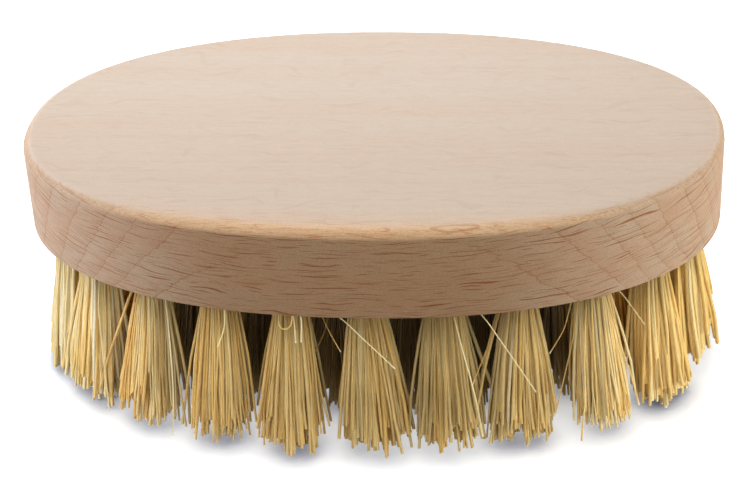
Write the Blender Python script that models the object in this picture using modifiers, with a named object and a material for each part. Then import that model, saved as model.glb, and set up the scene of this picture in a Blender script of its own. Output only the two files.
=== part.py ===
import math

import bmesh
import bpy
from mathutils import Matrix, Vector

# A hand-held oval scrubbing brush for truffles and vegetables, standing on its bristle tips.
# It is an anchor-set brush: one solid beech back with blind holes in its lower face, and in each
# hole a tuft of plant fibre, folded over a short flat wire that holds it in the wood.
# All sizes are in metres. +X runs along the back, +Z points up, and the tips stand on z = 0.

# Beech back
LENGTH = 0.130
WIDTH = 0.081
THICKNESS = 0.0172
OVAL_POWER = 2.2  # 2 would be a plain ellipse
OVAL_STEPS = 96
TOP_ROUND = 0.0018
TOP_ROUND_STEPS = 4
LOWER_ROUND = 0.0004

# Blind holes, drilled along the lean of each tuft
HOLE_DIAMETER = 0.0064
HOLE_DEPTH = 0.0100
DRILL_POINT = 0.0011
HOLE_SIDES = 12
CUT_OVERRUN = 0.0010

# Rings of tufts, from the rim inwards
RING_NAMES = ("outer", "middle", "inner")
TUFT_COUNTS = (22, 16, 10)
STRAND_COUNTS = (10, 8, 8)
TURN_SHARES = (0.14, 0.64, 0.30)  # how far each ring starts past the front, in tuft spacings
HOLE_INSET = 0.0074  # from the rim of the back to the centres of the outer holes
TIP_INSET = 0.0024  # the same at the tips, which lean outwards

# One tuft
BRISTLE_LENGTH = 0.0310  # from the lower face of the back to the tips
ROOT_SIDES = 10
ROOT_CLEARANCE = 0.0003
ROOT_TOP_GAP = 0.0006
ROOT_REACH_SHARE = 0.72
STRAND_ROOT_RADIUS = 0.00030
STRAND_TIP_RADIUS = 0.00090
STRAND_SIDES = 3
STRAND_START = 0.0012  # how deep a strand starts inside the folded root
FAN_TURN = math.radians(165)  # turns the strands' spiral to where they stand most evenly
TUFT_GAP = 0.0008  # between the tips of neighbouring tufts
OUTWARD_REACH = 0.0029  # of the outer tufts, from the middle of their tips
ROW_REACH_SHARE = 0.31  # half a tuft's depth at its tips, in ring spacings
UNEVEN_TRIM = 0.0016
TIP_CUT = 0.0005

# Anchor wire across the fold
ANCHOR_THICKNESS = 0.0004
ANCHOR_HEIGHT = 0.0018
ANCHOR_BITE = 0.0002  # how far each end stands out of the fibres
ANCHOR_DEPTH = 0.0068  # its middle, above the lower face of the back

GOLDEN_ANGLE = math.pi * (3 - math.sqrt(5))
ARC_STEPS = 720
SHARP_ANGLE = math.radians(40)

hole_flat_radius = HOLE_DIAMETER / 2 * math.cos(math.pi / HOLE_SIDES)
anchor_half_length = hole_flat_radius - ROOT_CLEARANCE
root_radius = anchor_half_length - ANCHOR_BITE


def clear_scene():
    for old in list(bpy.data.objects):
        bpy.data.objects.remove(old, do_unlink=True)


def new_collection(name):
    collection = bpy.data.collections.new(name)
    bpy.context.scene.collection.children.link(collection)
    return collection


def new_material(name, color, roughness):
    material = bpy.data.materials.new(name)
    material.use_nodes = True
    shader = material.node_tree.nodes["Principled BSDF"]
    shader.inputs["Base Color"].default_value = (*color, 1)
    shader.inputs["Roughness"].default_value = roughness
    shader.inputs["Metallic"].default_value = 0
    return material


def object_from(name, bm, collection, material=None):
    mesh = bpy.data.meshes.new(name)
    bm.to_mesh(mesh)
    bm.free()
    if material:
        mesh.materials.append(material)
    made = bpy.data.objects.new(name, mesh)
    collection.objects.link(made)
    return made


def helper_from(name, bm, collection):
    made = object_from(name, bm, collection)
    made.hide_render = True
    made.display_type = "WIRE"
    return made


def add_boolean(target, name, operation, other):
    boolean = target.modifiers.new(name, "BOOLEAN")
    boolean.operation = operation
    boolean.solver = "EXACT"
    boolean.object = other


# The oval: a superellipse, walked by angle

def signed_power(value, power):
    return math.copysign(abs(value) ** power, value)


def oval_point(half_length, half_width, angle):
    x = half_length * signed_power(math.cos(angle), 2 / OVAL_POWER)
    y = half_width * signed_power(math.sin(angle), 2 / OVAL_POWER)
    return Vector((x, y, 0))


def ring_half_sizes(inset, ring):
    # The rings share out the width evenly, so the two innermost rows are one spacing apart.
    outer_half_width = WIDTH / 2 - inset
    spacing = 2 * outer_half_width / (2 * len(RING_NAMES) - 1)
    return LENGTH / 2 - inset - ring * spacing, outer_half_width - ring * spacing, spacing


def ring_points(inset, ring):
    # Points at equal steps along the ring, counted from the middle of its front side.
    half_length, half_width, spacing = ring_half_sizes(inset, ring)
    angles = [-math.pi / 2 + 2 * math.pi * step / ARC_STEPS for step in range(ARC_STEPS + 1)]
    walk = [oval_point(half_length, half_width, angle) for angle in angles]
    travelled = [0.0]
    for before, after in zip(walk, walk[1:]):
        travelled.append(travelled[-1] + (after - before).length)
    perimeter = travelled[-1]
    count = TUFT_COUNTS[ring]
    points = []
    step = 0
    for tuft in range(count):
        wanted = perimeter * (tuft + TURN_SHARES[ring]) / count
        while travelled[step + 1] < wanted:
            step += 1
        part = (wanted - travelled[step]) / (travelled[step + 1] - travelled[step])
        points.append((walk[step].lerp(walk[step + 1], part), walk[step + 1] - walk[step]))
    return points, perimeter / count, spacing


# The beech back: a drum drawn out to the oval, its rims rounded

def make_back(collection, material):
    bm = bmesh.new()
    bmesh.ops.create_cone(
        bm, cap_ends=True, segments=OVAL_STEPS, radius1=1, radius2=1, depth=THICKNESS,
    )
    for vertex in bm.verts:
        angle = math.atan2(vertex.co.y, vertex.co.x)
        height = vertex.co.z
        vertex.co = oval_point(LENGTH / 2, WIDTH / 2, angle)
        vertex.co.z = height
    weights = bm.edges.layers.float.new("bevel_weight_edge")
    for edge in bm.edges:
        heights = [vertex.co.z for vertex in edge.verts]
        if min(heights) > 0:
            edge[weights] = 1
        elif max(heights) < 0:
            edge[weights] = LOWER_ROUND / TOP_ROUND
    back = object_from("wooden_back", bm, collection, material)
    back.location.z = BRISTLE_LENGTH + THICKNESS / 2
    rounding = back.modifiers.new("rounded rims", "BEVEL")
    rounding.limit_method = "WEIGHT"
    rounding.width = TOP_ROUND
    rounding.segments = TOP_ROUND_STEPS
    back.data.shade_smooth()
    back.data.set_sharp_from_angle(angle=SHARP_ANGLE)
    return back


# A hole, in the frame of its tuft: the mouth at the origin, +Z up into the wood

def make_hole_cutter(name, collection):
    bm = bmesh.new()
    depth = HOLE_DEPTH + CUT_OVERRUN
    bmesh.ops.create_cone(
        bm,
        cap_ends=True,
        segments=HOLE_SIDES,
        radius1=HOLE_DIAMETER / 2,
        radius2=HOLE_DIAMETER / 2,
        depth=depth,
        matrix=Matrix.Translation((0, 0, depth / 2 - CUT_OVERRUN)),
    )
    far_cap = [face for face in bm.faces if face.normal.z > 0.9]
    bmesh.ops.poke(bm, faces=far_cap, offset=DRILL_POINT)
    return helper_from(name, bm, collection)


# A tuft: the folded root in its hole, the anchor wire across the fold, and the strands

def make_root(name, collection, material):
    bm = bmesh.new()
    height = HOLE_DEPTH - ROOT_TOP_GAP
    bmesh.ops.create_cone(
        bm,
        cap_ends=True,
        segments=ROOT_SIDES,
        radius1=root_radius,
        radius2=root_radius,
        depth=height,
        matrix=Matrix.Translation((0, 0, height / 2)),
    )
    return object_from(name, bm, collection, material)


def make_anchor(name, collection):
    bm = bmesh.new()
    bmesh.ops.create_cube(bm, size=1)
    bmesh.ops.scale(
        bm, vec=(2 * anchor_half_length, ANCHOR_THICKNESS, ANCHOR_HEIGHT), verts=bm.verts,
    )
    bmesh.ops.translate(bm, vec=(0, 0, ANCHOR_DEPTH), verts=bm.verts)
    return helper_from(name, bm, collection)


def add_strand(bm, start, end):
    run = end - start
    place = Matrix.Translation((start + end) / 2) @ run.to_track_quat("Z", "Y").to_matrix().to_4x4()
    bmesh.ops.create_cone(
        bm,
        cap_ends=True,
        segments=STRAND_SIDES,
        radius1=STRAND_ROOT_RADIUS,
        radius2=STRAND_TIP_RADIUS,
        depth=run.length,
        matrix=place,
    )


def make_strands(name, collection, tuft):
    # Each strand fans out from its place in the root to the like place in the wider tip.
    bm = bmesh.new()
    to_tuft = tuft["frame"].inverted()
    root_reach = root_radius * ROOT_REACH_SHARE
    for strand in range(tuft["strands"]):
        distance = math.sqrt((strand + 0.5) / tuft["strands"])
        along = distance * math.cos(strand * GOLDEN_ANGLE + FAN_TURN)
        across = distance * math.sin(strand * GOLDEN_ANGLE + FAN_TURN)
        start = Vector((across * root_reach, along * root_reach, STRAND_START))
        reach = tuft["outward"] if across > 0 else tuft["inward"]
        tip = tuft["tip"] + tuft["out"] * across * reach + tuft["side"] * along * tuft["sideways"]
        end = to_tuft @ tip
        run = end - start
        shorter = UNEVEN_TRIM * strand / tuft["strands"] if strand % 2 else -TIP_CUT
        end = start + run * (1 - shorter / BRISTLE_LENGTH)
        add_strand(bm, start, end)
    # The longest strands stand on z = 0, cut flat there.
    bmesh.ops.bisect_plane(
        bm,
        geom=bm.verts[:] + bm.edges[:] + bm.faces[:],
        plane_co=to_tuft @ tuft["tip"],
        plane_no=to_tuft.to_3x3() @ Vector((0, 0, -1)),
        clear_outer=True,
    )
    rims = [edge for edge in bm.edges if edge.is_boundary]
    bmesh.ops.holes_fill(bm, edges=rims, sides=0)
    bmesh.ops.recalc_face_normals(bm, faces=bm.faces)
    return helper_from(name, bm, collection)


def tuft_places(ring):
    # The lean of each tuft, and of its hole, runs from its tips to its mouth in the wood.
    roots, _, _ = ring_points(HOLE_INSET, ring)
    tips, tip_pitch, tip_spacing = ring_points(TIP_INSET, ring)
    row_reach = tip_spacing * ROW_REACH_SHARE
    for number, ((root, _), (tip, heading)) in enumerate(zip(roots, tips), start=1):
        mouth = root + Vector((0, 0, BRISTLE_LENGTH))
        side = heading.normalized()
        out = side.cross(Vector((0, 0, 1)))
        up = (mouth - tip).normalized()
        forward = (out - up * out.dot(up)).normalized()
        turn = Matrix((forward, up.cross(forward), up)).transposed()
        yield {
            "name": f"{RING_NAMES[ring]}_{number:02d}",
            "strands": STRAND_COUNTS[ring],
            "frame": Matrix.Translation(mouth) @ turn.to_4x4(),
            "tip": tip,
            "out": out,
            "side": side,
            "outward": row_reach if ring else OUTWARD_REACH,
            "inward": row_reach,
            "sideways": (tip_pitch - TUFT_GAP) / 2 - STRAND_TIP_RADIUS,
        }


def place_at(target, frame):
    target.location = frame.to_translation()
    target.rotation_euler = frame.to_euler()


def make_tuft(tuft, parts, helpers, material):
    root = make_root("tuft_" + tuft["name"], parts, material)
    anchor = make_anchor("anchor_" + tuft["name"], helpers)
    strands = make_strands("strands_" + tuft["name"], helpers, tuft)
    for piece in (root, anchor, strands):
        place_at(piece, tuft["frame"])
    add_boolean(root, "anchor wire", "UNION", anchor)
    add_boolean(root, "strands", "UNION", strands)


def main():
    clear_scene()
    parts = new_collection("truffle_brush")
    helpers = new_collection("helpers")
    holes = new_collection("hole_cutters")
    beech = new_material("beech", (0.62, 0.47, 0.33), 0.55)
    fibre = new_material("plant fibre", (0.52, 0.37, 0.16), 0.6)
    back = make_back(parts, beech)
    for ring in range(len(RING_NAMES)):
        for tuft in tuft_places(ring):
            make_tuft(tuft, parts, helpers, fibre)
            place_at(make_hole_cutter("hole_" + tuft["name"], holes), tuft["frame"])
    drilling = back.modifiers.new("drilled holes", "BOOLEAN")
    drilling.operation = "DIFFERENCE"
    drilling.solver = "EXACT"
    drilling.operand_type = "COLLECTION"
    drilling.collection = holes


main()
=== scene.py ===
import math
import random

import bpy
from mathutils import Matrix, Vector


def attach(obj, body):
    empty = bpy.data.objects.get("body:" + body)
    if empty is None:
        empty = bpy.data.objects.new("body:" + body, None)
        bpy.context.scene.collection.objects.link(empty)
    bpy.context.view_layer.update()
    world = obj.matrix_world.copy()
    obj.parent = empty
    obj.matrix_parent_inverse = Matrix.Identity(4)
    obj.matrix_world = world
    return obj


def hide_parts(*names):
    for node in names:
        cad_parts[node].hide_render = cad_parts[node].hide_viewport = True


# Looks of a truffle brush: a beech back and 48 leaning tufts of plant fibre, each folded over
# a flat wire in its hole. Metres, +X along the back, +Z up, bristle tips on z = 0.

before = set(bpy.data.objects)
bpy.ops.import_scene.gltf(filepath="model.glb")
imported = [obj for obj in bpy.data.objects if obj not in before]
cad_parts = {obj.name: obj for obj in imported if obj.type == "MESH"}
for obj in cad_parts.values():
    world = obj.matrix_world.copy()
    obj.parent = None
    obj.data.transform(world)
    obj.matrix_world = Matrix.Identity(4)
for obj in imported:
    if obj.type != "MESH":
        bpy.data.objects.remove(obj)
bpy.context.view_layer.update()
print("frame loaded,", len(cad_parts), "nodes")


# Short calls that fill node trees, for shapes and materials alike

def fill(tree, node, inputs):
    # a socket is linked and anything else is set
    for name, value in inputs.items():
        socket = node.inputs[name]
        if isinstance(value, bpy.types.NodeSocket):
            tree.links.new(value, socket)
        else:
            socket.default_value = value


def addNode(tree, kind, inputs=None, **settings):
    node = tree.nodes.new(kind)
    for name, value in settings.items():
        setattr(node, name, value)
    fill(tree, node, inputs or {})
    return node


def calc(tree, operation, *values):
    return addNode(tree, "ShaderNodeMath", dict(enumerate(values)), operation=operation).outputs[0]


def times(tree, first, second):
    return calc(tree, "MULTIPLY", first, second)


def plus(tree, first, second):
    return calc(tree, "ADD", first, second)


def minus(tree, first, second):
    return calc(tree, "SUBTRACT", first, second)


def over(tree, first, second):
    return calc(tree, "DIVIDE", first, second)


def timesPlus(tree, first, second, added):
    return calc(tree, "MULTIPLY_ADD", first, second, added)


def most(tree, first, second):
    return calc(tree, "MAXIMUM", first, second)


def absolute(tree, value):
    return calc(tree, "ABSOLUTE", value)


def vectorCalc(tree, operation, *values):
    node = addNode(tree, "ShaderNodeVectorMath", dict(enumerate(values)), operation=operation)
    return node.outputs["Value" if operation in ("LENGTH", "DOT_PRODUCT") else "Vector"]


def scaled(tree, vector, factor):
    inputs = {"Vector": vector, "Scale": factor}
    return addNode(tree, "ShaderNodeVectorMath", inputs, operation="SCALE").outputs["Vector"]


def combined(tree, x=0.0, y=0.0, z=0.0):
    return addNode(tree, "ShaderNodeCombineXYZ", {"X": x, "Y": y, "Z": z}).outputs[0]


def parts(tree, vector):
    split = addNode(tree, "ShaderNodeSeparateXYZ", {"Vector": vector}).outputs
    return split["X"], split["Y"], split["Z"]


def between(tree, factor, first, second):
    return addNode(tree, "ShaderNodeMix", {0: factor, 2: first, 3: second}).outputs[0]


def step(tree, value, low, high, start=0.0, end=1.0):
    inputs = {"Value": value, "From Min": low, "From Max": high, "To Min": start, "To Max": end}
    return addNode(tree, "ShaderNodeMapRange", inputs, interpolation_type="SMOOTHSTEP").outputs[0]


def noise(tree, vector, scale, detail=2.0, roughness=0.5):
    inputs = {"Vector": vector, "Scale": scale, "Detail": detail, "Roughness": roughness}
    return addNode(tree, "ShaderNodeTexNoise", inputs).outputs


def newTree(name, kind, inputs, outputs):
    # a number makes a socket that starts at it, and a word says what kind of socket it is
    tree = bpy.data.node_groups.new(name, kind)
    for label, value in inputs.items():
        word = value if isinstance(value, str) else "Int" if isinstance(value, int) else "Float"
        socket = tree.interface.new_socket(label, in_out="INPUT", socket_type="NodeSocket" + word)
        if word != value:
            socket.default_value = value
    for label, word in outputs.items():
        tree.interface.new_socket(label, in_out="OUTPUT", socket_type="NodeSocket" + word)
    return tree, tree.nodes.new("NodeGroupInput").outputs, tree.nodes.new("NodeGroupOutput").inputs


def titled(values):
    # a piece's numbers as inputs of its tree, where bundleRadius is called Bundle Radius
    return {
        "".join(" " + letter if letter.isupper() else letter for letter in name).title(): value
        for name, value in values.items() if isinstance(value, (int, float))
    }


def useTree(piece, tree, values):
    modifier = piece.modifiers.new(tree.name, "NODES")
    modifier.node_group = tree
    for socket in tree.interface.items_tree:
        if socket.in_out == "INPUT" and socket.name in values:
            modifier[socket.identifier] = values[socket.name]


def attributeOf(tree, name, kind="FLOAT_VECTOR"):
    inputs = {"Name": name}
    return addNode(tree, "GeometryNodeInputNamedAttribute", inputs, data_type=kind).outputs[0]


def position(tree):
    return addNode(tree, "GeometryNodeInputPosition").outputs[0]


def moved(tree, geometry, **place):
    return addNode(tree, "GeometryNodeSetPosition", {"Geometry": geometry, **place}).outputs[0]


def upAlong(tree, vector):
    inputs = {"Vector": vector}
    return addNode(tree, "FunctionNodeAlignRotationToVector", inputs, axis="Z").outputs[0]


def onPoints(tree, points, shape, **turn):
    inputs = {"Points": points, "Instance": shape, **turn}
    return addNode(tree, "GeometryNodeInstanceOnPoints", inputs).outputs[0]


def realized(tree, geometry):
    return addNode(tree, "GeometryNodeRealizeInstances", {"Geometry": geometry}).outputs[0]


def smoothed(tree, geometry):
    return addNode(tree, "GeometryNodeSetShadeSmooth", {"Geometry": geometry}).outputs[0]


def resampled(tree, curve, count):
    inputs = {"Curve": curve, "Count": count}
    return addNode(tree, "GeometryNodeResampleCurve", inputs, mode="COUNT").outputs[0]


def finished(tree, geometry, material):
    # every tree ends in these two nodes
    inputs = {"Geometry": realized(tree, geometry), "Material": material}
    return addNode(tree, "GeometryNodeSetMaterial", inputs).outputs[0]


def placed(name, data):
    piece = bpy.data.objects.new(name, data)
    bpy.context.scene.collection.objects.link(piece)
    return piece


def settle(piece):
    # the evaluated shape becomes the piece's own plain mesh
    graph = bpy.context.evaluated_depsgraph_get()
    shaped = bpy.data.meshes.new_from_object(
        piece.evaluated_get(graph), preserve_all_data_layers=True, depsgraph=graph,
    )
    piece.modifiers.clear()
    piece.data = shaped
    shaped.name = piece.name
    return shaped


def srgb(red, green, blue):
    # a colour as a picture gives it, from 0 to 255, as linear light
    linear = []
    for value in (red, green, blue):
        share = value / 255
        linear.append(share / 12.92 if share <= 0.04045 else ((share + 0.055) / 1.055) ** 2.4)
    return (*linear, 1.0)


# The back's sizes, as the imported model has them

back = {
    "length": 0.130,
    "width": 0.081,
    "thickness": 0.0172,
    "underside": 0.0310,  # height of the lower face over the tips
    "ovalPower": 2.2,  # 2 would be a plain ellipse
    "topRound": 0.0018,
    "lowerRound": 0.0004,
    "holeRadius": 0.0032,
    "holeDepth": 0.0100,
    "drillPoint": 0.0011,
    "aroundSteps": 256,
    "holeSides": 20,
}

# Where the tufts stand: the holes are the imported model's, and single tips and tones the photo's

tufting = {
    "rings": ("outer", "middle", "inner"),
    "counts": (22, 16, 10),
    "turnShares": (0.14, 0.64, 0.30),  # start of each ring past the front, in tuft spacings
    "rootInset": 0.0074,  # rim of the back to the outer holes
    "tipInset": 0.0024,  # rim of the back to the outer tips, which lean outwards
    "outwardReach": 0.0029,
    "rowReachShare": 0.31,
    "tuftGaps": (0.0042, 0.0006, 0.0006),  # between neighbours' tips, from the outer ring inwards
    "closedFrom": 0.047,  # towards the ends the outer ring's gaps close
    "closedAt": 0.056,
    "tipDrift": 0.0006,  # how far a tuft's tips stray from their even places
    "reachSpread": 0.11,
    "paleFrom": 0.045,  # tufts this far towards the ends are the palest
    # single outer tufts: aside at the tip, extra painted shade, shorter by a share of the length, how pale
    "sideways": {0: 0.0011, 2: -0.0016, 3: -0.0012, 4: -0.0005, 19: 0.0007, 20: 0.0016},
    "dull": {0: 0.24, 1: 0.44, 2: 0.22, 19: 0.28, 21: 0.20},
    "shorter": {0: 0.04, 1: 0.055, 2: 0.02, 3: 0.05, 5: 0.10, 6: 0.05, 19: 0.04, 20: 0.02, 21: 0.03},
    "paleness": {4: 0.55, 5: 0.40, 6: 0.40, 16: 1.5, 17: 1.6, 18: 1.2},
    "seed": 11,
}


def signedPower(value, power):
    return math.copysign(abs(value) ** power, value)


def ovalPoint(halfLength, halfWidth, angle):
    x = halfLength * signedPower(math.cos(angle), 2 / back["ovalPower"])
    y = halfWidth * signedPower(math.sin(angle), 2 / back["ovalPower"])
    return Vector((x, y, 0))


def ringPoints(inset, ring):
    # equal steps along a ring, from the middle of its front side
    rings = len(tufting["rings"])
    outerHalfWidth = back["width"] / 2 - inset
    spacing = 2 * outerHalfWidth / (2 * rings - 1)
    halfLength = back["length"] / 2 - inset - ring * spacing
    halfWidth = outerHalfWidth - ring * spacing
    arcSteps = 720
    angles = [-math.pi / 2 + 2 * math.pi * n / arcSteps for n in range(arcSteps + 1)]
    walk = [ovalPoint(halfLength, halfWidth, angle) for angle in angles]
    travelled = [0.0]
    for before, after in zip(walk, walk[1:]):
        travelled.append(travelled[-1] + (after - before).length)
    count = tufting["counts"][ring]
    places = []
    n = 0
    for tuft in range(count):
        wanted = travelled[-1] * (tuft + tufting["turnShares"][ring]) / count
        while travelled[n + 1] < wanted:
            n += 1
        share = (wanted - travelled[n]) / (travelled[n + 1] - travelled[n])
        places.append((walk[n].lerp(walk[n + 1], share), (walk[n + 1] - walk[n]).normalized()))
    return places, travelled[-1] / count, spacing


def tuftPlaces(ring, chance):
    roots, _, _ = ringPoints(tufting["rootInset"], ring)
    tips, tipPitch, tipSpacing = ringPoints(tufting["tipInset"], ring)
    inward = tipSpacing * tufting["rowReachShare"]
    for number, ((root, _), (tip, side)) in enumerate(zip(roots, tips)):
        mouth = root + Vector((0, 0, back["underside"]))
        out = side.cross(Vector((0, 0, 1)))
        lean = (mouth - tip).normalized()
        forward = (out - lean * out.dot(lean)).normalized()
        drift = Vector((chance.uniform(-1, 1), chance.uniform(-1, 1), 0)) * tufting["tipDrift"]
        own = number if ring == 0 else None
        drift += side * tufting["sideways"].get(own, 0.0)
        spread = 1 + chance.uniform(-1, 1) * tufting["reachSpread"]
        closed = (abs(root.x) - tufting["closedFrom"]) / (tufting["closedAt"] - tufting["closedFrom"])
        gap = tufting["tuftGaps"][ring] * (1 - min(max(closed, 0), 1))
        yield {
            "mouth": mouth,
            "tuftTip": tip + drift,
            "tuftLean": lean,
            "tuftForward": forward,
            "tuftSide": side,
            "tuftOut": out,
            "tuftReach": Vector((
                inward if ring else tufting["outwardReach"],
                inward,
                (tipPitch - gap) / 2 * spread,
            )),
            "tuftChance": Vector((chance.random(), chance.random(), chance.random())),
            # how pale, one less the tuft's extra painted shade, and how much shorter
            "tuftPale": Vector((
                tufting["paleness"].get(own, min(abs(root.x) / tufting["paleFrom"], 1)),
                1 - tufting["dull"].get(own, 0.0),
                tufting["shorter"].get(own, 0.0),
            )),
        }


def tuftPoints(name, rings, first=0, last=None):
    # one vertex at each hole's mouth, with what the trees need to know of its tuft
    chance = random.Random(tufting["seed"] + rings[0])
    places = [place for ring in rings for place in tuftPlaces(ring, chance)][first:last]
    mesh = bpy.data.meshes.new(name)
    mesh.from_pydata([place.pop("mouth") for place in places], [], [])
    for label in places[0]:
        attribute = mesh.attributes.new(label, "FLOAT_VECTOR", "POINT")
        attribute.data.foreach_set("vector", [value for place in places for value in place[label]])
    return placed(name, mesh)


allRings = range(len(tufting["rings"]))


# Fine and broad mottling, shared by the wood, the fibre and the wire

def mottleGroup():
    tree, given, result = newTree(
        "mottle",
        "ShaderNodeTree",
        {"Vector": "Vector", "Broad Scale": 0.1, "Fine Scale": 2.0},
        {"Broad": "Float", "Fine": "Float"},
    )
    broad = noise(tree, given["Vector"], given["Broad Scale"], 3.0, 0.55)["Fac"]
    fine = noise(tree, given["Vector"], given["Fine Scale"], 4.0, 0.65)["Fac"]
    tree.links.new(broad, result["Broad"])
    tree.links.new(fine, result["Fine"])
    return tree


mottle = mottleGroup()


def addMottle(tree, vector, broadScale, fineScale):
    inputs = {"Vector": vector, "Broad Scale": broadScale, "Fine Scale": fineScale}
    made = addNode(tree, "ShaderNodeGroup", inputs, node_tree=mottle).outputs
    return made["Broad"], made["Fine"]


def roughened(tree, grain, roughness, less, more):
    return step(tree, grain, 0.2, 0.8, roughness - less, roughness + more)


def bumped(tree, height, strength, distance):
    inputs = {"Strength": strength, "Distance": distance, "Height": height}
    return addNode(tree, "ShaderNodeBump", inputs).outputs["Normal"]


def newMaterial(name):
    material = bpy.data.materials.new(name)
    material.use_nodes = True
    return material, material.node_tree, material.node_tree.nodes["Principled BSDF"]


def tint(tree, factor, color, tinted, blend="MULTIPLY"):
    inputs = {0: factor, 6: color, 7: tinted}
    return addNode(tree, "ShaderNodeMix", inputs, data_type="RGBA", blend_type=blend).outputs[2]


def millimetres(tree):
    place = addNode(tree, "ShaderNodeTexCoord").outputs["Object"]
    return scaled(tree, place, 1000)


# Beech, as a solid: growth rings round a pith behind and above the brush, and rays that run
# out from it as thin ribbons, so they show as dashes in front and as long lines at the ends

beech = {
    "top": srgb(204, 187, 172),
    "topFrontShade": srgb(200, 181, 165),
    "rim": srgb(212, 178, 140),
    "endRim": srgb(183, 158, 134),
    "side": srgb(153, 124, 94),
    "ends": srgb(179, 154, 131),
    "rayTint": srgb(200, 144, 98),
    "ringTint": srgb(226, 190, 158),
    "pinkTint": srgb(255, 243, 236),
    "streakTint": srgb(236, 186, 132),
    "sidesTo": 18.0,  # millimetres, as the lengths below
    "endsFrom": 53.0,
    "rimSidesTo": 30.0,
    "rimEndsFrom": 56.0,
    "rimFrom": 1.75,  # under the top face
    "rimFull": 0.6,
    "pithY": 80.0,
    "pithZ": 80.0,
    "ringSpacing": 3.433,
    "ringDrift": 0.0216,  # the rings aren't quite parallel to the back's length
    "ringWave": 0.30,
    "ringWavePeriod": 19.0,
    "ringWaveStart": 4.861,
    "ringStart": 30.54,
    "raySlope": 0.18,  # the rays rise a little towards the pith
    "rayPitch": 1.15,
    "rayLength": 13.0,
    "rayThickness": 0.145,
    "dashPitch": 0.50,
    "dashLength": 6.4,
    "dashThickness": 0.095,
    "roughness": 0.62,
}


def rayLayer(tree, along, across, pitch, length, thickness, seed):
    # ribbons in rows, each with its own place, length and strength
    rowPlace = over(tree, across, pitch)
    row = calc(tree, "FLOOR", rowPlace)
    rowNoise = addNode(
        tree, "ShaderNodeTexWhiteNoise", {"W": plus(tree, row, seed)}, noise_dimensions="1D",
    ).outputs["Value"]
    cellPlace = timesPlus(tree, rowNoise, 37.0, over(tree, along, length))
    cell = calc(tree, "FLOOR", cellPlace)
    cellNoise = addNode(
        tree, "ShaderNodeTexWhiteNoise", {"Vector": combined(tree, row, cell, seed)},
        noise_dimensions="3D",
    ).outputs["Color"]
    reach, shift, strength = parts(tree, cellNoise)
    halfLength = timesPlus(tree, reach, 0.30, 0.17)
    room = minus(tree, 0.5, halfLength)
    centre = times(tree, room, timesPlus(tree, shift, 2.0, -1.0))
    alongCell = minus(tree, minus(tree, calc(tree, "FRACT", cellPlace), 0.5), centre)
    run = over(tree, alongCell, halfLength)
    taper = most(tree, minus(tree, 1.0, times(tree, run, run)), 0.0)
    offset = timesPlus(tree, strength, 0.5, -0.25)
    acrossRow = minus(tree, minus(tree, calc(tree, "FRACT", rowPlace), 0.5), offset)
    fullness = timesPlus(tree, shift, 0.5, 0.6)
    edge = times(tree, times(tree, taper, fullness), thickness / pitch)
    inner = times(tree, edge, 0.3)
    mask = step(tree, absolute(tree, acrossRow), inner, plus(tree, edge, 0.001), 1.0, 0.0)
    shown = times(tree, mask, step(tree, taper, 0.0, 0.25))
    return times(tree, shown, step(tree, strength, 0.1, 0.8, 0.25, 1.0))


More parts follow.
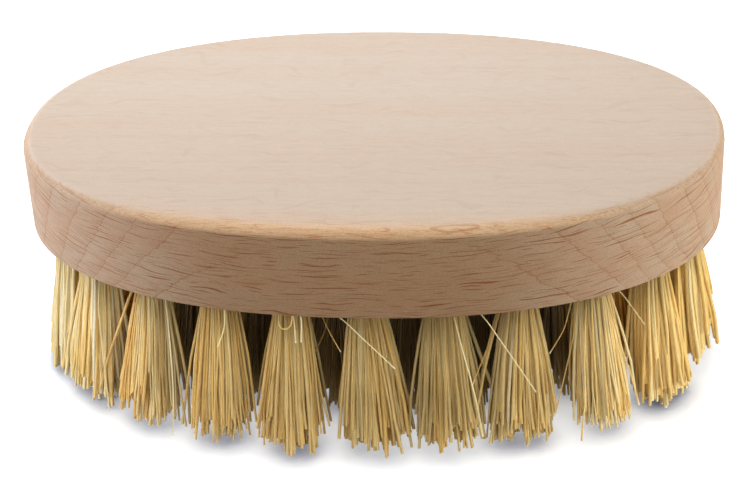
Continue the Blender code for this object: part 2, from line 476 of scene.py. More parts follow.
def beechMaterial():
    material, tree, shader = newMaterial("beechWood")
    place = millimetres(tree)
    x, y, z = parts(tree, place)
    fromPithY = minus(tree, y, beech["pithY"])
    fromPithZ = minus(tree, z, beech["pithZ"])
    squares = plus(tree, times(tree, fromPithY, fromPithY), times(tree, fromPithZ, fromPithZ))
    radius = calc(tree, "SQRT", squares)
    around = timesPlus(tree, y, -beech["raySlope"], z)

    # growth rings, a little ragged and not quite even
    grainPlace = combined(tree, times(tree, x, 0.12), radius, around)
    jagged = noise(tree, grainPlace, 0.9, 2.0, 0.6)["Fac"]
    drifting = noise(tree, grainPlace, 0.12, 1.0)["Fac"]
    ringPlace = timesPlus(tree, x, beech["ringDrift"], radius)
    ringPlace = timesPlus(tree, jagged, 0.9, minus(tree, ringPlace, 0.45))
    ringPlace = timesPlus(tree, drifting, 1.2, minus(tree, ringPlace, 0.6))
    perMillimetre = 2 * math.pi / beech["ringWavePeriod"]
    wave = calc(tree, "SINE", timesPlus(tree, ringPlace, perMillimetre, beech["ringWaveStart"]))
    phase = timesPlus(tree, wave, beech["ringWave"], over(tree, ringPlace, beech["ringSpacing"]))
    ringShare = calc(tree, "FRACT", minus(tree, phase, beech["ringStart"]))
    lateWood = step(tree, ringShare, 0.45, 1.0)
    ringLine = step(tree, ringShare, 0.95, 0.985)

    # rays
    wavyPlace = combined(
        tree, times(tree, x, 0.10), times(tree, radius, 0.12), times(tree, around, 0.35),
    )
    wavy = noise(tree, wavyPlace, 1.0, 1.0)["Fac"]
    acrossRays = timesPlus(tree, wavy, 2.2, around)
    rays = rayLayer(
        tree, x, acrossRays, beech["rayPitch"], beech["rayLength"], beech["rayThickness"], 3.0,
    )
    dashes = rayLayer(
        tree, x, acrossRays, beech["dashPitch"], beech["dashLength"], beech["dashThickness"], 41.0,
    )
    allRays = most(tree, rays, times(tree, dashes, 0.9))

    # the sides are darkest, the sawn ends paler, and the top is sanded paler still; these steps are partly
    # the wood's own colour and partly painted light and shade
    across = absolute(tree, x)
    towardsEnds = step(tree, across, beech["sidesTo"], beech["endsFrom"])
    color = tint(tree, towardsEnds, beech["side"], beech["ends"], "MIX")
    face = 1000 * (back["underside"] + back["thickness"])
    rim = step(tree, z, face - beech["rimFrom"], face - beech["rimFull"])
    alongShare = over(tree, across, 500 * back["length"])
    acrossShare = over(tree, absolute(tree, y), 500 * back["width"])
    outline = plus(
        tree, calc(tree, "POWER", alongShare, back["ovalPower"]),
        calc(tree, "POWER", acrossShare, back["ovalPower"]),
    )
    inside = most(tree, calc(tree, "POWER", outline, 1 / back["ovalPower"]), 0.01)
    fromMiddle = vectorCalc(tree, "LENGTH", combined(tree, x, y))
    fromRim = times(tree, minus(tree, over(tree, 1.0, inside), 1.0), fromMiddle)
    # painted shade: along the front, the rim's warmer, darker colour reaches onto the top's edge
    front = step(tree, y, -39.5, -29.0, 1.0, 0.05)
    narrow = times(tree, step(tree, fromRim, 1.2, 4.2, 0.70, 0.0), front)
    edgeShade = timesPlus(tree, step(tree, fromRim, 4.0, 13.0, 0.30, 0.0), front, narrow)
    edgeShade = most(tree, edgeShade, step(tree, fromRim, 0.4, 1.5, 1.0, 0.0))
    top = times(tree, rim, minus(tree, 1.0, edgeShade))
    # painted shade: towards the ends the rim turns darker, where the side lamps light its rounding
    towardsEnds = step(tree, across, beech["rimSidesTo"], beech["rimEndsFrom"])
    rimColor = tint(tree, towardsEnds, beech["rim"], beech["endRim"], "MIX")
    color = tint(tree, rim, color, rimColor, "MIX")
    # painted shade: the top darkens towards its front edge, as the light falls off there
    topColor = tint(tree, step(tree, y, -30.0, 20.0), beech["topFrontShade"], beech["top"], "MIX")
    color = tint(tree, top, color, topColor, "MIX")
    streakPlace = combined(tree, times(tree, x, 0.07), y, z)
    broad, fine = addMottle(tree, streakPlace, 0.16, 3.2)
    pink = times(tree, step(tree, broad, 0.35, 0.7), between(tree, rim, 1.0, 0.45))
    color = tint(tree, pink, color, beech["pinkTint"])
    edge = times(tree, rim, minus(tree, 1.0, top))
    streakStrength = timesPlus(tree, edge, 0.55, times(tree, rim, 0.11))
    streaks = times(tree, step(tree, fine, 0.50, 0.66), streakStrength)
    color = tint(tree, streaks, color, beech["streakTint"])
    fading = step(tree, across, 12.0, 36.0, 0.08, 0.55)
    ringStrength = between(tree, rim, fading, between(tree, top, 0.25, 0.09))
    lateStrength = times(tree, ringStrength, 0.30)
    color = tint(tree, times(tree, lateWood, lateStrength), color, beech["ringTint"])
    color = tint(tree, times(tree, ringLine, ringStrength), color, beech["ringTint"])
    rayStrength = between(tree, rim, 1.0, between(tree, top, 0.45, 0.09))
    color = tint(tree, times(tree, allRays, rayStrength), color, beech["rayTint"])
    speckPlace = combined(tree, times(tree, x, 0.45), y, z)
    blotch, speck = addMottle(tree, speckPlace, 1.1, 5.5)
    strong = step(tree, speck, 0.25, 0.75, 0.84, 1.15)
    weak = step(tree, speck, 0.25, 0.75, 0.95, 1.05)
    color = scaled(tree, color, between(tree, top, strong, weak))
    color = scaled(tree, color, step(tree, blotch, 0.3, 0.7, 0.985, 1.015))
    fill(tree, shader, {
        "Base Color": color,
        "Roughness": roughened(tree, fine, beech["roughness"], 0.06, 0.08),
        "Specular IOR Level": 0.3,
        "Normal": bumped(tree, minus(tree, speck, times(tree, allRays, 0.6)), 0.35, 0.00006),
    })
    return material


beechWood = beechMaterial()
print("beech material made")


# The back: a drum whose cap rings draw in to a rounded rim, drilled along each tuft's lean

def backTree():
    tree, given, result = newTree(
        "drilledOvalBack",
        "GeometryNodeTree",
        {"Hole Places": "Geometry", **titled(back), "Material": "Material"},
        {"Geometry": "Geometry"},
    )
    capRings = 14
    roundRings = 6
    drum = addNode(
        tree, "GeometryNodeMeshCylinder",
        {"Vertices": given["Around Steps"], "Fill Segments": capRings, "Radius": 1.0, "Depth": 1.0},
        fill_type="TRIANGLE_FAN",
    ).outputs["Mesh"]
    x, y, z = parts(tree, position(tree))
    reach = vectorCalc(tree, "LENGTH", combined(tree, x, y))
    cosine = over(tree, x, reach)
    sine = over(tree, y, reach)
    isTop = calc(tree, "GREATER_THAN", z, 0.0)
    ovalShare = over(tree, 2.0, given["Oval Power"])
    slopePower = times(tree, ovalShare, minus(tree, given["Oval Power"], 1.0))
    outline, slope = [], []
    for part, size in ((cosine, given["Length"]), (sine, given["Width"])):
        half = over(tree, size, 2.0)
        sign = calc(tree, "SIGN", part)
        plain = absolute(tree, part)
        outline.append(times(tree, times(tree, calc(tree, "POWER", plain, ovalShare), sign), half))
        slope.append(over(tree, times(tree, calc(tree, "POWER", plain, slopePower), sign), half))
    outward = vectorCalc(tree, "NORMALIZE", combined(tree, *slope))

    # rings counted in from the rim: the first few turn the corner, the rest close the face
    ringNumber = times(tree, minus(tree, 1.0, reach), float(capRings))
    corner = calc(tree, "MINIMUM", over(tree, ringNumber, float(roundRings)), 1.0)
    angle = times(tree, corner, math.pi / 2)
    rounding = between(tree, isTop, given["Lower Round"], given["Top Round"])
    inset = times(tree, rounding, minus(tree, 1.0, calc(tree, "COSINE", angle)))
    drop = times(tree, rounding, minus(tree, 1.0, calc(tree, "SINE", angle)))
    faceRing = most(tree, minus(tree, ringNumber, float(roundRings)), 0.0)
    faceShare = over(tree, faceRing, float(capRings - roundRings))
    closing = minus(tree, 1.0, times(tree, faceShare, faceShare))
    level = vectorCalc(tree, "SUBTRACT", combined(tree, *outline), scaled(tree, outward, inset))
    topHeight = minus(tree, plus(tree, given["Underside"], given["Thickness"]), drop)
    height = between(tree, isTop, plus(tree, given["Underside"], drop), topHeight)
    spot = vectorCalc(tree, "ADD", scaled(tree, level, closing), combined(tree, z=height))
    oval = moved(tree, drum, Position=spot)

    # one drill, turned to each tuft's lean
    overrun = 0.001
    cutLength = plus(tree, given["Hole Depth"], overrun)
    drill = addNode(
        tree, "GeometryNodeMeshCylinder",
        {"Vertices": given["Hole Sides"], "Radius": given["Hole Radius"], "Depth": cutLength},
        fill_type="TRIANGLE_FAN",
    ).outputs["Mesh"]
    dx, dy, dz = parts(tree, position(tree))
    isPoint = calc(tree, "LESS_THAN", vectorCalc(tree, "LENGTH", combined(tree, dx, dy)), 0.0001)
    isPoint = times(tree, isPoint, calc(tree, "GREATER_THAN", dz, 0.0))
    lift = minus(tree, over(tree, cutLength, 2.0), overrun)
    lift = timesPlus(tree, isPoint, given["Drill Point"], lift)
    drill = moved(tree, drill, Offset=combined(tree, z=lift))
    turned = upAlong(tree, attributeOf(tree, "tuftLean"))
    drills = onPoints(tree, given["Hole Places"], drill, Rotation=turned)
    drilled = addNode(
        tree, "GeometryNodeMeshBoolean", {"Mesh 1": oval, "Mesh 2": realized(tree, drills)},
        operation="DIFFERENCE", solver="EXACT",
    ).outputs[0]
    made = finished(tree, smoothed(tree, drilled), given["Material"])
    tree.links.new(made, result["Geometry"])
    return tree


beechBack = tuftPoints("beechBack", allRings)
useTree(beechBack, backTree(), {**titled(back), "Material": beechWood})
settle(beechBack).set_sharp_from_angle(angle=math.radians(38))
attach(beechBack, "root")
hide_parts("wooden_back")
print("beech back,", len(beechBack.data.polygons), "faces")


# Plant fibre: every fibre has its own tone, and each darkens a little towards the wood, painted shade under
# the back

fibre = {
    "tones": (
        (0.00, srgb(222, 172, 94)),
        (0.22, srgb(236, 194, 114)),
        (0.40, srgb(242, 214, 150)),
        (0.54, srgb(241, 202, 122)),
        (0.68, srgb(245, 223, 162)),
        (0.84, srgb(248, 233, 188)),
        (1.00, srgb(250, 240, 210)),
    ),
    "rootShade": srgb(164, 154, 138),
    "tipTint": srgb(255, 246, 224),
    "shadeTint": srgb(68, 53, 52),  # painted shade of the inner rings near the wood, for the dark gaps between the front tufts
    "paintedGlow": srgb(255, 208, 116),  # painted glow of the inner rings at both ends, for light coming through them there
    "shadeTo": 34.0,  # millimetres along the brush
    "glowFrom": 44.0,
    "roughness": 0.60,
    "sheen": 1.0,
    "sheenTint": srgb(255, 216, 134),
}


def fibreMaterial():
    material, tree, shader = newMaterial("plantFibre")
    tone = addNode(tree, "ShaderNodeAttribute", attribute_name="fibreTone").outputs["Fac"]
    along = addNode(tree, "ShaderNodeAttribute", attribute_name="fibreAlong").outputs["Fac"]
    shade = addNode(tree, "ShaderNodeAttribute", attribute_name="fibreShade").outputs["Fac"]
    ramp = addNode(tree, "ShaderNodeValToRGB", {"Fac": tone})
    stops = ramp.color_ramp.elements
    while len(stops) < len(fibre["tones"]):
        stops.new(0.5)
    for stop, (place, color) in zip(stops, fibre["tones"]):
        stop.position = place
        stop.color = color
    place = millimetres(tree)
    across = absolute(tree, parts(tree, place)[0])
    # the inner rings get painted shade near the wood in the brush's middle, and a painted glow at both ends
    middle = step(tree, across, fibre["shadeTo"], fibre["glowFrom"], 1.0, 0.05)
    nearWood = times(tree, middle, step(tree, along, 0.55, 1.0, 1.0, 0.3))
    shaded = times(tree, minus(tree, 1.0, shade), nearWood)
    broad, fine = addMottle(tree, place, 0.22, 1.6)
    color = ramp.outputs["Color"]
    # painted shade: every fibre darkens towards the wood
    color = tint(tree, step(tree, along, 0.0, 0.42, 1.0, 0.0), color, fibre["rootShade"])
    color = tint(tree, step(tree, along, 0.93, 1.0, 0.0, 0.6), color, fibre["tipTint"], "SCREEN")
    # painted glow: the inner rings turn golden at both ends
    golden = times(tree, minus(tree, 1.0, shade), minus(tree, 1.0, middle))
    color = tint(tree, shaded, color, fibre["shadeTint"])
    color = tint(tree, golden, color, fibre["paintedGlow"])
    color = scaled(tree, color, step(tree, broad, 0.3, 0.7, 0.93, 1.05))
    color = scaled(tree, color, step(tree, fine, 0.25, 0.75, 0.94, 1.05))
    fill(tree, shader, {
        "Base Color": color,
        "Roughness": roughened(tree, fine, fibre["roughness"], 0.08, 0.12),
        "Specular IOR Level": 0.25,
        "Sheen Weight": fibre["sheen"],
        "Sheen Roughness": 0.5,
        "Sheen Tint": fibre["sheenTint"],
        "Normal": bumped(tree, fine, 0.4, 0.00004),
    })
    return material


plantFibre = fibreMaterial()


# The tufts: from each hole's mouth a bundle of fibres fans out to its tips

bristles = {
    "bundles": (  # name, ring, first and last tuft, fibres in a tuft, their half thickness, shade (below 1, painted shade near the wood and painted glow at the ends)
        ("outerRightBristles", 0, 1, 11, 402, 0.00026, 1.0),
        ("outerLeftBristles", 0, 12, 22, 402, 0.00026, 1.0),
        ("middleBristles", 1, 1, 16, 240, 0.00028, 0.12),
        ("innerBristles", 2, 1, 10, 200, 0.00030, 0.0),
    ),
    "radiusSpread": 0.30,
    "coreThickness": 0.5,  # how much thicker the fibres are in a tuft's middle
    "endThickness": 0.38,  # how much thicker they are at both ends, where tufts run together
    "bundleRadius": 0.00272,
    "rootDepth": 0.0078,
    "segments": 5,
    "sides": 4,
    "jitter": 0.27,
    "clumpScale": 2.8,
    "clump": 0.50,
    "clumpTrim": 0.18,
    "wander": 0.0042,
    "earlySpread": 0.38,
    "shortest": 0.11,
    "brokenShare": 0.03,
    "taper": 0.12,
    "crowding": 0.42,  # under 0.5 the bundle's middle is sparser than its rim
    "shortPower": 1.7,  # higher leaves fewer short ones
    "ownTone": 0.17,  # shares of a fibre's tone: its own, its clump's and its tuft's
    "clumpTone": 0.50,
    "tuftTone": 0.33,
    "endsFrom": 0.038,  # along the brush, where the thicker fibres of both ends begin
    "endsFull": 0.054,
    "strayShare": 0.14,
    "strayReach": 0.65,
    "seed": 5,
}


def store(tree, geometry, name, value, kind="FLOAT_VECTOR"):
    inputs = {"Geometry": geometry, "Name": name, "Value": value}
    return addNode(
        tree, "GeometryNodeStoreNamedAttribute", inputs, data_type=kind, domain="POINT",
    ).outputs[0]


def chanceOf(tree, seed, shift, low=0.0, high=1.0):
    number = addNode(tree, "GeometryNodeInputIndex").outputs[0]
    inputs = {"ID": number, "Seed": plus(tree, seed, float(shift)), 2: low, 3: high}
    return addNode(tree, "FunctionNodeRandomValue", inputs, data_type="FLOAT").outputs[1]


def tubes(tree, curves, sides, radius, material):
    profile = addNode(
        tree, "GeometryNodeCurvePrimitiveCircle", {"Resolution": sides, "Radius": 1.0},
    ).outputs[0]
    skin = addNode(
        tree, "GeometryNodeCurveToMesh",
        {"Curve": curves, "Profile Curve": profile, "Scale": radius, "Fill Caps": True},
    ).outputs[0]
    return finished(tree, smoothed(tree, skin), material)


def bristleTree():
    tree, given, result = newTree(
        "fannedTufts",
        "GeometryNodeTree",
        {
            "Tufts": "Geometry", "Fibres Per Tuft": 400, "Fibre Radius": 0.00026, "Shade": 1.0,
            **titled(bristles), "Material": "Material",
        },
        {"Geometry": "Geometry"},
    )
    seed = given["Seed"]
    copies = addNode(
        tree, "GeometryNodeDuplicateElements",
        {"Geometry": given["Tufts"], "Amount": given["Fibres Per Tuft"]}, domain="POINT",
    )
    number = copies.outputs["Duplicate Index"]

    # places in the bundle follow a sunflower, so the roots never crowd
    share = over(tree, plus(tree, number, 0.5), given["Fibres Per Tuft"])
    reach = calc(tree, "POWER", share, given["Crowding"])
    tuftChance = attributeOf(tree, "tuftChance")
    firstChance, secondChance, _ = parts(tree, tuftChance)
    goldenAngle = math.pi * (3 - math.sqrt(5))
    turn = timesPlus(tree, number, goldenAngle, times(tree, firstChance, 6.283))
    rootOut = times(tree, reach, calc(tree, "COSINE", turn))
    rootSide = times(tree, reach, calc(tree, "SINE", turn))

    # at the tips the fibres stray from those places and gather in small clumps
    jitter = given["Jitter"]
    tipOut = timesPlus(tree, chanceOf(tree, seed, 1, -1.0, 1.0), jitter, rootOut)
    tipSide = timesPlus(tree, chanceOf(tree, seed, 2, -1.0, 1.0), jitter, rootSide)
    tipPlace = combined(tree, tipOut, times(tree, tipSide, 2.0))
    corner = scaled(tree, tuftChance, 50.0)
    cells = addNode(
        tree, "ShaderNodeTexVoronoi",
        {"Vector": vectorCalc(tree, "ADD", tipPlace, corner), "Scale": given["Clump Scale"]},
        voronoi_dimensions="2D",
    ).outputs
    clumpOut, clumpSide, _ = parts(tree, vectorCalc(tree, "SUBTRACT", cells["Position"], corner))
    clumpTrim, clumpTone, _ = parts(tree, cells["Color"])
    tipOut = between(tree, given["Clump"], tipOut, clumpOut)
    tipSide = between(tree, given["Clump"], tipSide, times(tree, clumpSide, 0.5))
    isStray = calc(tree, "LESS_THAN", chanceOf(tree, seed, 3), given["Stray Share"])
    strayed = times(tree, isStray, chanceOf(tree, seed, 4))
    farther = timesPlus(tree, strayed, given["Stray Reach"], 1.0)
    tipOut = times(tree, tipOut, farther)
    tipSide = times(tree, tipSide, farther)

    mouth = position(tree)
    lean = attributeOf(tree, "tuftLean")
    side = attributeOf(tree, "tuftSide")
    outward, inward, sideways = parts(tree, attributeOf(tree, "tuftReach"))
    bundle = given["Bundle Radius"]
    start = vectorCalc(tree, "ADD", mouth, vectorCalc(
        tree, "ADD",
        scaled(tree, attributeOf(tree, "tuftForward"), times(tree, rootOut, bundle)),
        scaled(tree, side, times(tree, rootSide, bundle)),
    ))
    outReach = between(tree, calc(tree, "GREATER_THAN", tipOut, 0.0), inward, outward)
    end = vectorCalc(tree, "ADD", attributeOf(tree, "tuftTip"), vectorCalc(
        tree, "ADD",
        scaled(tree, attributeOf(tree, "tuftOut"), times(tree, tipOut, outReach)),
        scaled(tree, side, times(tree, tipSide, sideways)),
    ))
    shortness = calc(tree, "POWER", chanceOf(tree, seed, 5), given["Short Power"])
    lengthShare = minus(tree, 1.0, times(tree, shortness, given["Shortest"]))
    lengthShare = minus(tree, lengthShare, times(tree, clumpTrim, given["Clump Trim"]))
    pale, brightness, trim = parts(tree, attributeOf(tree, "tuftPale"))
    lengthShare = minus(tree, lengthShare, trim)
    isBroken = calc(tree, "LESS_THAN", chanceOf(tree, seed, 6), given["Broken Share"])
    brokenOff = times(tree, isBroken, chanceOf(tree, seed, 7, 0.05, 0.5))
    lengthShare = minus(tree, lengthShare, brokenOff)
    spread = timesPlus(tree, chanceOf(tree, seed, 8, -1.0, 1.0), given["Radius Spread"], 1.0)
    thickness = times(tree, given["Fibre Radius"], spread)
    core = timesPlus(tree, minus(tree, 1.0, reach), given["Core Thickness"], 1.0)
    thickness = times(tree, thickness, core)
    across = absolute(tree, parts(tree, mouth)[0])
    ends = step(tree, across, given["Ends From"], given["Ends Full"])
    thickness = times(tree, thickness, timesPlus(tree, ends, given["End Thickness"], 1.0))
    tuftTone = between(tree, 0.75, secondChance, pale)
    shared = plus(
        tree, times(tree, clumpTone, given["Clump Tone"]), times(tree, tuftTone, given["Tuft Tone"]),
    )
    tone = plus(tree, times(tree, chanceOf(tree, seed, 9), given["Own Tone"]), shared)

    axis = vectorCalc(tree, "SUBTRACT", attributeOf(tree, "tuftTip"), mouth)
    spreading = vectorCalc(tree, "SUBTRACT", vectorCalc(tree, "SUBTRACT", end, start), axis)
    points = copies.outputs["Geometry"]
    points = store(tree, points, "fibreStart", start)
    points = store(tree, points, "fibreEnd", end)
    points = store(tree, points, "fibreSpread", spreading)
    points = store(tree, points, "fibreLean", lean)
    points = store(tree, points, "fibreLength", lengthShare, "FLOAT")
    points = store(tree, points, "fibreRadius", thickness, "FLOAT")
    points = store(tree, points, "fibreTone", tone, "FLOAT")
    points = store(tree, points, "fibreShade", times(tree, given["Shade"], brightness), "FLOAT")
    points = store(tree, points, "fibreChance", chanceOf(tree, seed, 10, 0.0, 400.0), "FLOAT")

    # one straight line, placed once for each fibre and then bent to its own way
    line = addNode(
        tree, "GeometryNodeCurvePrimitiveLine", {"Start": (0, 0, 0), "End": (0, 0, 1)},
    ).outputs[0]
    line = resampled(tree, line, plus(tree, given["Segments"], 1.0))
    lines = realized(tree, onPoints(tree, points, line))
    factor = addNode(tree, "GeometryNodeSplineParameter").outputs["Factor"]
    mouthShare = over(tree, 1.0, given["Segments"])
    inHole = most(tree, minus(tree, 1.0, over(tree, factor, mouthShare)), 0.0)
    free = over(tree, minus(tree, factor, mouthShare), minus(tree, 1.0, mouthShare))
    free = times(tree, most(tree, free, 0.0), attributeOf(tree, "fibreLength", "FLOAT"))
    straight = addNode(
        tree, "ShaderNodeMix",
        {0: free, 4: attributeOf(tree, "fibreStart"), 5: attributeOf(tree, "fibreEnd")},
        data_type="VECTOR",
    ).outputs[1]
    # they part soonest near the wood
    early = times(tree, free, minus(tree, 1.0, free))
    fan = scaled(tree, attributeOf(tree, "fibreSpread"), times(tree, early, given["Early Spread"]))
    straight = vectorCalc(tree, "ADD", straight, fan)
    folded = scaled(tree, attributeOf(tree, "fibreLean"), times(tree, inHole, given["Root Depth"]))
    wanderPlace = combined(tree, attributeOf(tree, "fibreChance", "FLOAT"), times(tree, free, 1.3))
    wander = vectorCalc(tree, "SUBTRACT", noise(tree, wanderPlace, 1.0, 1.0)["Color"], (0.5, 0.5, 0.5))
    wander = vectorCalc(tree, "MULTIPLY", wander, (1.0, 1.0, 0.3))
    wander = scaled(tree, wander, times(tree, free, given["Wander"]))
    bent = vectorCalc(tree, "ADD", vectorCalc(tree, "ADD", straight, folded), wander)
    bx, by, bz = parts(tree, bent)
    radius = attributeOf(tree, "fibreRadius", "FLOAT")
    bz = most(tree, bz, times(tree, radius, 0.4))  # none sinks into the table
    lines = moved(tree, lines, Position=combined(tree, bx, by, bz))
    # stored after the bend, which changes how far along its line each point lies
    lines = store(tree, lines, "fibreAlong", free, "FLOAT")
    thinner = times(tree, attributeOf(tree, "fibreAlong", "FLOAT"), given["Taper"])
    thinning = times(tree, radius, minus(tree, 1.0, thinner))
    tree.links.new(tubes(tree, lines, given["Sides"], thinning, given["Material"]), result["Geometry"])
    return tree


def keepAttributes(mesh, kept):
    for attribute in list(mesh.attributes):
        if attribute.name.startswith(("fibre", "tuft")) and attribute.name not in kept:
            mesh.attributes.remove(attribute)


fannedTufts = bristleTree()
for order, (name, ring, first, last, count, radius, shade) in enumerate(bristles["bundles"]):
    bundle = tuftPoints(name, [ring], first - 1, last)
    useTree(bundle, fannedTufts, {
        **titled(bristles),
        "Fibres Per Tuft": count,
        "Fibre Radius": radius,
        "Shade": shade,
        "Seed": bristles["seed"] + 20 * order,
        "Material": plantFibre,
    })
    keepAttributes(settle(bundle), ("fibreTone", "fibreAlong", "fibreShade"))
    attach(bundle, "root")
    ringName = tufting["rings"][ring]
    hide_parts(*[f"tuft_{ringName}_{n:02d}" for n in range(first, last + 1)])
    print(name + ",", len(bundle.data.polygons), "faces")


# A few long fibres that lie across their neighbours, each from a hole's mouth

strays = {
    "sides": 5,
    "steps": 16,
    "dimBelow": 0.25,  # strays of a lower tone lie behind the front tufts and take painted shade
    "dimShade": 0.45,
    "fibres": (  # tone, half thickness, then points, in millimetres
        (0.86, 0.12, ((-9.6, -34.0, 32.5), (-2.6, -36.0, 28.2), (2.4, -39.6, 25.5), (7.2, -40.6, 20.8))),
        (0.80, 0.12, ((17.4, -33.6, 32.3), (22.0, -35.0, 28.9), (25.7, -38.6, 25.6), (31.8, -41.2, 16.9))),
        (0.04, 0.11, ((26.6, -31.2, 32.5), (24.2, -34.5, 25.0), (22.5, -36.5, 20.9), (20.6, -38.5, 16.3))),
        (0.10, 0.10, ((39.0, -27.0, 32.5), (37.4, -31.5, 28.2), (36.4, -34.0, 25.3), (34.0, -36.0, 21.5))),
        (0.80, 0.13, ((16.4, -34.8, 32.4), (19.1, -39.5, 23.9), (21.1, -41.2, 16.0), (22.5, -41.8, 7.5))),
        (0.66, 0.12, ((42.6, -25.9, 32.4), (46.2, -27.5, 29.2), (48.4, -30.5, 27.8), (50.4, -33.0, 26.1))),
        (0.30, 0.17, ((42.7, -26.6, 32.5), (46.3, -33.5, 22.4), (48.3, -36.0, 17.3), (49.8, -38.0, 12.3))),
        (0.72, 0.13, ((-23.6, -32.8, 32.4), (-22.9, -37.3, 28.5), (-23.1, -38.5, 26.6),
                      (-24.2, -39.5, 23.9))),
        (0.70, 0.13, ((-47.6, -21.6, 32.4), (-47.5, -29.0, 27.1), (-46.8, -33.0, 22.1),
                      (-45.7, -38.0, 8.4))),
        (0.80, 0.13, ((-35.4, -28.2, 32.5), (-33.1, -37.6, 25.4), (-32.9, -40.0, 15.0),
                      (-33.6, -41.2, 5.6))),
        (0.84, 0.15, ((-10.4, -35.0, 32.3), (-9.3, -37.5, 28.8), (-9.3, -39.2, 25.1))),
        (0.72, 0.14, ((-11.4, -35.2, 32.3), (-10.6, -37.5, 28.6), (-10.2, -39.4, 25.0))),
        (0.50, 0.14, ((-13.2, -34.8, 32.3), (-13.2, -38.0, 28.0), (-12.1, -38.6, 27.4), (-11.0, -38.0, 28.1),
                      (-10.9, -34.9, 32.3))),
        (0.10, 0.10, ((-4.4, -22.0, 32.4), (-5.4, -28.0, 26.0), (-6.5, -31.5, 21.5), (-9.3, -33.5, 16.9))),
        (0.20, 0.11, ((39.2, -27.0, 32.4), (38.2, -33.0, 24.0), (36.9, -36.0, 18.1), (35.3, -38.0, 10.4))),
        (0.12, 0.10, ((-9.4, -33.4, 32.3), (-7.0, -33.8, 29.2), (-4.6, -36.0, 25.0), (-2.5, -38.5, 22.7))),
    ),
}


def strayTree():
    tree, given, result = newTree(
        "strayFibre",
        "GeometryNodeTree",
        {"Ways": "Geometry", "Sides": 5, "Steps": 12, "Material": "Material"},
        {"Geometry": "Geometry"},
    )
    curves = addNode(tree, "GeometryNodeMeshToCurve", {"Mesh": given["Ways"]}).outputs[0]
    curves = addNode(
        tree, "GeometryNodeCurveSplineType", {"Curve": curves}, spline_type="CATMULL_ROM",
    ).outputs[0]
    curves = resampled(tree, curves, given["Steps"])
    along = addNode(tree, "GeometryNodeSplineParameter").outputs["Factor"]
    curves = store(tree, curves, "fibreAlong", along, "FLOAT")
    thickness = attributeOf(tree, "fibreRadius", "FLOAT")
    made = tubes(tree, curves, given["Sides"], thickness, given["Material"])
    tree.links.new(made, result["Geometry"])
    return tree


def strayWays(name):
    points, links, tones, radii, shades = [], [], [], [], []
    for tone, radius, way in strays["fibres"]:
        for n, point in enumerate(way):
            if n:
                links.append((len(points) - 1, len(points)))
            points.append(Vector(point) / 1000)
            tones.append(tone)
            radii.append(radius / 1000)
            shades.append(strays["dimShade"] if tone < strays["dimBelow"] else 1.0)
    mesh = bpy.data.meshes.new(name)
    mesh.from_pydata(points, links, [])
    for label, values in (("fibreTone", tones), ("fibreRadius", radii), ("fibreShade", shades)):
        mesh.attributes.new(label, "FLOAT", "POINT").data.foreach_set("value", values)
    return placed(name, mesh)


strayFibres = strayWays("strayFibres")
useTree(strayFibres, strayTree(), {**titled(strays), "Material": plantFibre})
keepAttributes(settle(strayFibres), ("fibreTone", "fibreAlong", "fibreShade"))
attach(strayFibres, "root")
print("stray fibres,", len(strayFibres.data.polygons), "faces")


# Anchor wires, one flat wire across the fold of each tuft, hidden in the wood

anchors = {
    "length": 0.0056,
    "thickness": 0.0004,
    "height": 0.0018,
    "depth": 0.0068,
    "edge": 0.00008,
    "color": srgb(196, 194, 190),
    "roughness": 0.38,
}


def wireMaterial():
    material, tree, shader = newMaterial("anchorWire")
    broad, fine = addMottle(tree, millimetres(tree), 0.5, 6.0)
    color = scaled(tree, anchors["color"][:3], step(tree, broad, 0.3, 0.7, 0.86, 1.0))
    fill(tree, shader, {
        "Base Color": color,
        "Roughness": roughened(tree, fine, anchors["roughness"], 0.08, 0.12),
        "Metallic": 1.0,
    })
    return material


def anchorTree():
    tree, given, result = newTree(
        "anchorsInHoles",
        "GeometryNodeTree",
        {
            "Hole Places": "Geometry", "Length": 0.0046, "Thickness": 0.0004, "Height": 0.0018,
            "Depth": 0.0068, "Material": "Material",
        },
        {"Geometry": "Geometry"},
    )
    size = combined(tree, given["Length"], given["Thickness"], given["Height"])
    wire = addNode(tree, "GeometryNodeMeshCube", {"Size": size}).outputs["Mesh"]
    lean = attributeOf(tree, "tuftLean")
    turned = addNode(
        tree, "FunctionNodeAlignRotationToVector",
        {"Rotation": upAlong(tree, lean), "Vector": attributeOf(tree, "tuftForward")},
        axis="X", pivot_axis="Z",
    ).outputs[0]
    deeper = moved(tree, given["Hole Places"], Offset=scaled(tree, lean, given["Depth"]))
    wires = onPoints(tree, deeper, wire, Rotation=turned)
    tree.links.new(finished(tree, wires, given["Material"]), result["Geometry"])
    return tree


anchorWires = tuftPoints("anchorWires", allRings)
useTree(anchorWires, anchorTree(), {**titled(anchors), "Material": wireMaterial()})
edges = anchorWires.modifiers.new("worn edges", "BEVEL")
edges.width = anchors["edge"]
edges.segments = 2
keepAttributes(settle(anchorWires), ())
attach(anchorWires, "root")
print("anchor wires,", len(anchorWires.data.polygons), "faces")


# Camera, where the photographer stood

camera = {
    "azimuth": 6.89,  # degrees
    "elevation": 31.27,
    "roll": -2.73,
    "distance": 0.3756,
    "target": Vector((-0.00024, 0.0, 0.02026)),
    "lens": 93.36,  # millimetres, on a 36 mm sensor
}


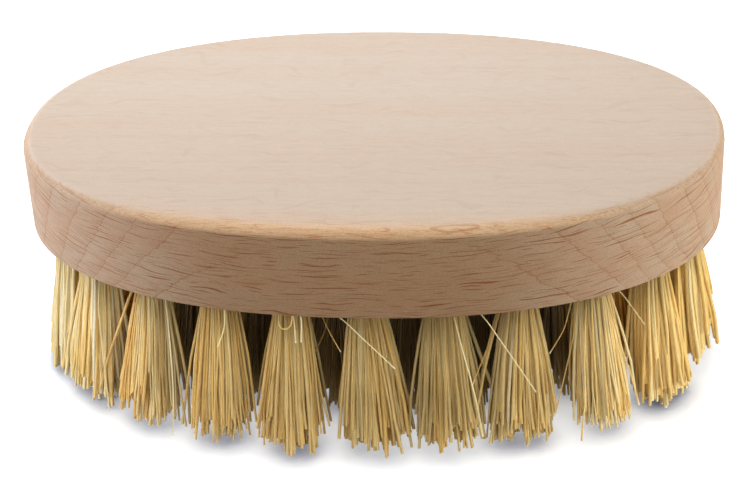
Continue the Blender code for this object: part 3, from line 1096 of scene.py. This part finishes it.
def addCamera():
    azimuth, elevation = math.radians(camera["azimuth"]), math.radians(camera["elevation"])
    roll = math.radians(camera["roll"])
    behind = Vector((
        math.sin(azimuth) * math.cos(elevation),
        -math.cos(azimuth) * math.cos(elevation),
        math.sin(elevation),
    ))
    level = Vector((0, 0, 1)).cross(behind).normalized()
    upright = behind.cross(level)
    right = level * math.cos(roll) + upright * math.sin(roll)
    up = upright * math.cos(roll) - level * math.sin(roll)
    lens = bpy.data.cameras.new("camera")
    lens.lens = camera["lens"]
    lens.sensor_width = 36
    lens.clip_start = 0.01
    lens.clip_end = 20
    eye = placed("camera", lens)
    turn = Matrix((right, up, behind)).transposed().to_4x4()
    eye.matrix_world = Matrix.Translation(camera["target"] + behind * camera["distance"]) @ turn
    bpy.context.scene.camera = eye


addCamera()


# Studio: a white table, soft lights above, in front and at both sides, and two low fills

studio = {
    "table": 6.0,
    "tableWhite": (0.90, 0.94, 1.00),
    "tableGlow": 0.56,
    "upwardGlow": 0.15,  # the table's own glow, which lights the brush from below besides its bounce
    "contact": 0.0050,  # how far the painted contact shadow reaches on the table round the brush
    "contactPower": 1.5,
    "contactShade": (0.03, 0.035, 0.10),
    "tableBounce": 0.06,
    "worldLight": 0.28,
    "lamps": (  # name, place, size, power, colour
        ("overheadSoftbox", (-0.13, 0.29, 0.38), (0.50, 0.36), 2.1, (1.0, 1.0, 0.99)),
        ("frontSoftbox", (0.00, -0.75, 1.00), (1.80, 0.60), 3.0, (1.0, 1.0, 0.99)),
        ("leftSoftbox", (-0.59, -0.05, 0.09), (0.36, 0.14), 2.65, (0.95, 0.97, 1.0)),
        ("rightSoftbox", (0.59, -0.05, 0.09), (0.36, 0.14), 2.6, (1.0, 0.96, 0.80)),
        ("frontLeftFill", (-0.36, -0.48, 0.14), (0.64, 0.22), 0.70, (1.0, 1.0, 0.98)),
        ("frontRightFill", (0.36, -0.48, 0.14), (0.64, 0.22), 0.70, (1.0, 0.99, 0.95)),
    ),
}


def seenDirectly(tree):
    # by the camera, in a mirror or through glass
    path = addNode(tree, "ShaderNodeLightPath").outputs
    others = plus(tree, path["Is Glossy Ray"], path["Is Transmission Ray"])
    return calc(tree, "MINIMUM", plus(tree, path["Is Camera Ray"], others), 1.0)


def addTable():
    half = studio["table"] / 2
    mesh = bpy.data.meshes.new("table")
    mesh.from_pydata(
        [(-half, -half, 0), (half, -half, 0), (half, half, 0), (-half, half, 0)], [], [(0, 1, 2, 3)],
    )
    table = placed("table", mesh)
    material, tree, shader = newMaterial("tableTop")
    tree.nodes.remove(shader)
    seen = seenDirectly(tree)
    # painted contact shadow: the table darkens where its ambient occlusion finds the brush close
    openness = addNode(
        tree, "ShaderNodeAmbientOcclusion", {"Distance": studio["contact"]}, samples=16,
    ).outputs["AO"]
    openness = calc(tree, "POWER", openness, studio["contactPower"])
    contact = tint(tree, openness, (*studio["contactShade"], 1), (1, 1, 1, 1), "MIX")
    bounce = between(tree, seen, studio["tableBounce"], 1.0)
    white = scaled(tree, vectorCalc(tree, "MULTIPLY", contact, studio["tableWhite"]), bounce)
    plain = addNode(tree, "ShaderNodeBsdfDiffuse", {"Color": white})
    glow = addNode(
        tree, "ShaderNodeEmission",
        {"Color": contact, "Strength": between(tree, seen, studio["upwardGlow"], studio["tableGlow"])},
    )
    lit = addNode(tree, "ShaderNodeAddShader", {0: plain.outputs[0], 1: glow.outputs[0]})
    clear = addNode(tree, "ShaderNodeBsdfTransparent")
    under = addNode(tree, "ShaderNodeNewGeometry").outputs["Backfacing"]
    oneSided = addNode(
        tree, "ShaderNodeMixShader", {0: under, 1: lit.outputs[0], 2: clear.outputs[0]},
    )
    tree.links.new(oneSided.outputs[0], tree.nodes["Material Output"].inputs["Surface"])
    mesh.materials.append(material)


def addLamp(name, place, size, power, color):
    light = bpy.data.lights.new(name, "AREA")
    light.shape = "RECTANGLE"
    light.size, light.size_y = size
    light.energy = power
    light.color = color
    lamp = placed(name, light)
    lamp.location = place
    aim = Vector((0, 0, 0.02)) - Vector(place)
    lamp.rotation_euler = aim.to_track_quat("-Z", "Y").to_euler()


def addWorld():
    world = bpy.data.worlds.new("whiteRoom")
    world.use_nodes = True
    tree = world.node_tree
    strength = between(tree, seenDirectly(tree), studio["worldLight"], 1.0)
    fill(tree, tree.nodes["Background"], {"Color": (1, 1, 1, 1), "Strength": strength})
    bpy.context.scene.world = world


addTable()
addWorld()
for lamp in studio["lamps"]:
    addLamp(*lamp)
bpy.context.scene.view_settings.view_transform = "Standard"
print("camera, table and lamps placed")
